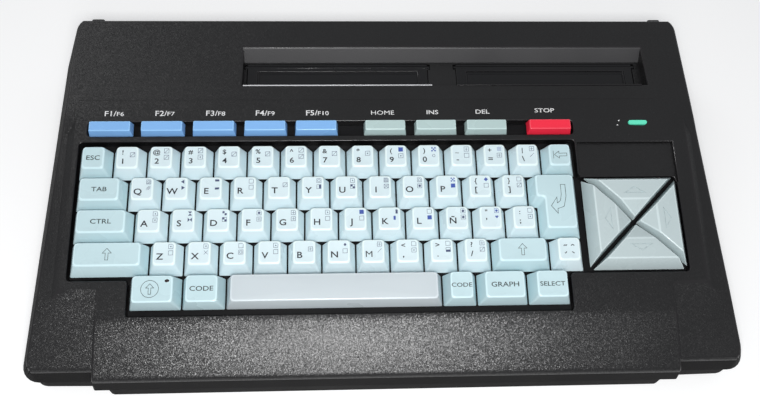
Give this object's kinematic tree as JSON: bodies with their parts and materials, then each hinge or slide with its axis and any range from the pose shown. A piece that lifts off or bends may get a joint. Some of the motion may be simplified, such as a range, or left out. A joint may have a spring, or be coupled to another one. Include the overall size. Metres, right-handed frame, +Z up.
{
  "type": "home computer",
  "caption": "Desktop home computer in a black wedge-shaped case with built-in keyboard, function keys, square cursor pad and two cartridge slots.",
  "frame": {"origin": "middle of the bounding box, on the surface that the feet stand on", "axes": "+X to the user's right, +Y to the rear, +Z up"},
  "size_m": [0.405, 0.2254, 0.0659],
  "materials": {
    "case_plastic": "fine moulded grain, satin",
    "inner_plastic": "plain moulded",
    "door_plastic": "smooth, glossy",
    "letter_plastic": "fine grain, dark grey legends",
    "modifier_plastic": "fine grain, dark grey legends",
    "blue_plastic": "satin",
    "grey_green_plastic": "satin",
    "red_plastic": "satin",
    "green_lens": "clear lens",
    "green_board": "circuit board",
    "chip_black": "moulded",
    "bare_steel": "plated",
    "sink_aluminium": "extruded",
    "foot_rubber": "matt",
    "sheet_rubber": "matt"
  },
  "bodies": {
    "case": {"upper_case": "case_plastic", "lower_case": "case_plastic", "front_left_foot": "foot_rubber", "front_right_foot": "foot_rubber", "rear_left_foot": "foot_rubber", "rear_right_foot": "foot_rubber", "key_guide": "inner_plastic", "key_contact_sheet": "sheet_rubber", "keyboard_board": "green_board", "main_board": "green_board", "processor_chip": "chip_black", "video_chip": "chip_black", "memory_chip": "chip_black", "cartridge_connector_1": "chip_black", "cartridge_connector_2": "chip_black", "mains_transformer": "bare_steel", "regulator_heat_sink": "sink_aluminium", "modulator_box": "bare_steel", "video_socket": "inner_plastic", "cassette_socket": "inner_plastic", "printer_port": "inner_plastic", "joystick_port_1": "bare_steel", "joystick_port_2": "bare_steel", "mains_inlet": "inner_plastic", "power_switch_frame": "inner_plastic", "power_lamp": "green_lens"},
    "escape_key": {"escape_key": "modifier_plastic"},
    "backspace_key": {"backspace_key": "modifier_plastic"},
    "tab_key": {"tab_key": "modifier_plastic"},
    "control_key": {"control_key": "modifier_plastic"},
    "left_shift_key": {"left_shift_key": "modifier_plastic"},
    "right_shift_key": {"right_shift_key": "modifier_plastic"},
    "caps_key": {"caps_key": "modifier_plastic"},
    "left_code_key": {"left_code_key": "modifier_plastic"},
    "right_code_key": {"right_code_key": "modifier_plastic"},
    "graph_key": {"graph_key": "modifier_plastic"},
    "select_key": {"select_key": "modifier_plastic"},
    "return_key": {"return_key": "modifier_plastic"},
    "accents_key": {"accents_key": "letter_plastic"},
    "space_bar": {"space_bar": "letter_plastic"},
    "number_row_keys": {"number_row_keys": "letter_plastic"},
    "upper_letter_keys": {"upper_letter_keys": "letter_plastic"},
    "home_letter_keys": {"home_letter_keys": "letter_plastic"},
    "lower_letter_keys": {"lower_letter_keys": "letter_plastic"},
    "function_key_1": {"function_key_1": "blue_plastic"},
    "function_key_2": {"function_key_2": "blue_plastic"},
    "function_key_3": {"function_key_3": "blue_plastic"},
    "function_key_4": {"function_key_4": "blue_plastic"},
    "function_key_5": {"function_key_5": "blue_plastic"},
    "home_key": {"home_key": "grey_green_plastic"},
    "insert_key": {"insert_key": "grey_green_plastic"},
    "delete_key": {"delete_key": "grey_green_plastic"},
    "stop_key": {"stop_key": "red_plastic"},
    "cursor_up_key": {"cursor_up_key": "grey_green_plastic"},
    "cursor_down_key": {"cursor_down_key": "grey_green_plastic"},
    "cursor_left_key": {"cursor_left_key": "grey_green_plastic"},
    "cursor_right_key": {"cursor_right_key": "grey_green_plastic"},
    "cartridge_door_1": {"cartridge_door_1": "door_plastic"},
    "cartridge_door_2": {"cartridge_door_2": "door_plastic"},
    "power_switch": {"power_switch": "red_plastic"}
  },
  "joints": [
    {"name": "escape_key_press", "type": "slide", "parent": "case", "child": "escape_key", "axis": [0, 0.1132, -0.9936], "range_m": [0, 0.0038], "stiffness_N_per_m": 130, "springref_m": -0.003},
    {"name": "backspace_key_press", "type": "slide", "parent": "case", "child": "backspace_key", "axis": [0, 0.1132, -0.9936], "range_m": [0, 0.0038], "stiffness_N_per_m": 130, "springref_m": -0.003},
    {"name": "tab_key_press", "type": "slide", "parent": "case", "child": "tab_key", "axis": [0, 0.1132, -0.9936], "range_m": [0, 0.0038], "stiffness_N_per_m": 130, "springref_m": -0.003},
    {"name": "control_key_press", "type": "slide", "parent": "case", "child": "control_key", "axis": [0, 0.1132, -0.9936], "range_m": [0, 0.0038], "stiffness_N_per_m": 130, "springref_m": -0.003},
    {"name": "left_shift_key_press", "type": "slide", "parent": "case", "child": "left_shift_key", "axis": [0, 0.1132, -0.9936], "range_m": [0, 0.0038], "stiffness_N_per_m": 130, "springref_m": -0.003},
    {"name": "right_shift_key_press", "type": "slide", "parent": "case", "child": "right_shift_key", "axis": [0, 0.1132, -0.9936], "range_m": [0, 0.0038], "stiffness_N_per_m": 130, "springref_m": -0.003},
    {"name": "caps_key_press", "type": "slide", "parent": "case", "child": "caps_key", "axis": [0, 0.1132, -0.9936], "range_m": [0, 0.0038], "stiffness_N_per_m": 130, "springref_m": -0.003},
    {"name": "left_code_key_press", "type": "slide", "parent": "case", "child": "left_code_key", "axis": [0, 0.1132, -0.9936], "range_m": [0, 0.0038], "stiffness_N_per_m": 130, "springref_m": -0.003},
    {"name": "right_code_key_press", "type": "slide", "parent": "case", "child": "right_code_key", "axis": [0, 0.1132, -0.9936], "range_m": [0, 0.0038], "stiffness_N_per_m": 130, "springref_m": -0.003},
    {"name": "graph_key_press", "type": "slide", "parent": "case", "child": "graph_key", "axis": [0, 0.1132, -0.9936], "range_m": [0, 0.0038], "stiffness_N_per_m": 130, "springref_m": -0.003},
    {"name": "select_key_press", "type": "slide", "parent": "case", "child": "select_key", "axis": [0, 0.1132, -0.9936], "range_m": [0, 0.0038], "stiffness_N_per_m": 130, "springref_m": -0.003},
    {"name": "return_key_press", "type": "slide", "parent": "case", "child": "return_key", "axis": [0, 0.1132, -0.9936], "range_m": [0, 0.0038], "stiffness_N_per_m": 130, "springref_m": -0.003},
    {"name": "accents_key_press", "type": "slide", "parent": "case", "child": "accents_key", "axis": [0, 0.1132, -0.9936], "range_m": [0, 0.0038], "stiffness_N_per_m": 130, "springref_m": -0.003},
    {"name": "space_bar_press", "type": "slide", "parent": "case", "child": "space_bar", "axis": [0, 0.1132, -0.9936], "range_m": [0, 0.0038], "stiffness_N_per_m": 200, "springref_m": -0.003},
    {"name": "number_row_keys_press", "type": "slide", "parent": "case", "child": "number_row_keys", "axis": [0, 0.1132, -0.9936], "range_m": [0, 0.0038], "stiffness_N_per_m": 1430, "springref_m": -0.003},
    {"name": "upper_letter_keys_press", "type": "slide", "parent": "case", "child": "upper_letter_keys", "axis": [0, 0.1132, -0.9936], "range_m": [0, 0.0038], "stiffness_N_per_m": 1320, "springref_m": -0.003},
    {"name": "home_letter_keys_press", "type": "slide", "parent": "case", "child": "home_letter_keys", "axis": [0, 0.1132, -0.9936], "range_m": [0, 0.0038], "stiffness_N_per_m": 1320, "springref_m": -0.003},
    {"name": "lower_letter_keys_press", "type": "slide", "parent": "case", "child": "lower_letter_keys", "axis": [0, 0.1132, -0.9936], "range_m": [0, 0.0038], "stiffness_N_per_m": 1100, "springref_m": -0.003},
    {"name": "function_key_1_press", "type": "slide", "parent": "case", "child": "function_key_1", "axis": [0, 0.1132, -0.9936], "range_m": [0, 0.0038], "stiffness_N_per_m": 130, "springref_m": -0.003},
    {"name": "function_key_2_press", "type": "slide", "parent": "case", "child": "function_key_2", "axis": [0, 0.1132, -0.9936], "range_m": [0, 0.0038], "stiffness_N_per_m": 130, "springref_m": -0.003},
    {"name": "function_key_3_press", "type": "slide", "parent": "case", "child": "function_key_3", "axis": [0, 0.1132, -0.9936], "range_m": [0, 0.0038], "stiffness_N_per_m": 130, "springref_m": -0.003},
    {"name": "function_key_4_press", "type": "slide", "parent": "case", "child": "function_key_4", "axis": [0, 0.1132, -0.9936], "range_m": [0, 0.0038], "stiffness_N_per_m": 130, "springref_m": -0.003},
    {"name": "function_key_5_press", "type": "slide", "parent": "case", "child": "function_key_5", "axis": [0, 0.1132, -0.9936], "range_m": [0, 0.0038], "stiffness_N_per_m": 130, "springref_m": -0.003},
    {"name": "home_key_press", "type": "slide", "parent": "case", "child": "home_key", "axis": [0, 0.1132, -0.9936], "range_m": [0, 0.0038], "stiffness_N_per_m": 130, "springref_m": -0.003},
    {"name": "insert_key_press", "type": "slide", "parent": "case", "child": "insert_key", "axis": [0, 0.1132, -0.9936], "range_m": [0, 0.0038], "stiffness_N_per_m": 130, "springref_m": -0.003},
    {"name": "delete_key_press", "type": "slide", "parent": "case", "child": "delete_key", "axis": [0, 0.1132, -0.9936], "range_m": [0, 0.0038], "stiffness_N_per_m": 130, "springref_m": -0.003},
    {"name": "stop_key_press", "type": "slide", "parent": "case", "child": "stop_key", "axis": [0, 0.1132, -0.9936], "range_m": [0, 0.0038], "stiffness_N_per_m": 130, "springref_m": -0.003},
    {"name": "cursor_up_key_press", "type": "slide", "parent": "case", "child": "cursor_up_key", "axis": [0, 0.1132, -0.9936], "range_m": [0, 0.0038], "stiffness_N_per_m": 200, "springref_m": -0.003},
    {"name": "cursor_down_key_press", "type": "slide", "parent": "case", "child": "cursor_down_key", "axis": [0, 0.1132, -0.9936], "range_m": [0, 0.0038], "stiffness_N_per_m": 200, "springref_m": -0.003},
    {"name": "cursor_left_key_press", "type": "slide", "parent": "case", "child": "cursor_left_key", "axis": [0, 0.1132, -0.9936], "range_m": [0, 0.0038], "stiffness_N_per_m": 200, "springref_m": -0.003},
    {"name": "cursor_right_key_press", "type": "slide", "parent": "case", "child": "cursor_right_key", "axis": [0, 0.1132, -0.9936], "range_m": [0, 0.0038], "stiffness_N_per_m": 200, "springref_m": -0.003},
    {"name": "cartridge_door_1_hinge", "type": "hinge", "parent": "case", "child": "cartridge_door_1", "pos_m": [-0.0272, 0.07885, 0.053], "axis": [1, 0, 0], "range_deg": [0, 86], "stiffness_Nm_per_rad": 0.002, "springref_deg": -34.38},
    {"name": "cartridge_door_2_hinge", "type": "hinge", "parent": "case", "child": "cartridge_door_2", "pos_m": [0.1015, 0.07885, 0.053], "axis": [1, 0, 0], "range_deg": [0, 86], "stiffness_Nm_per_rad": 0.002, "springref_deg": -34.38},
    {"name": "power_switch_rock", "type": "hinge", "parent": "case", "child": "power_switch", "pos_m": [-0.125, 0.1065, 0.0197], "axis": [1, 0, 0], "range_deg": [0, 14]}
  ]
}
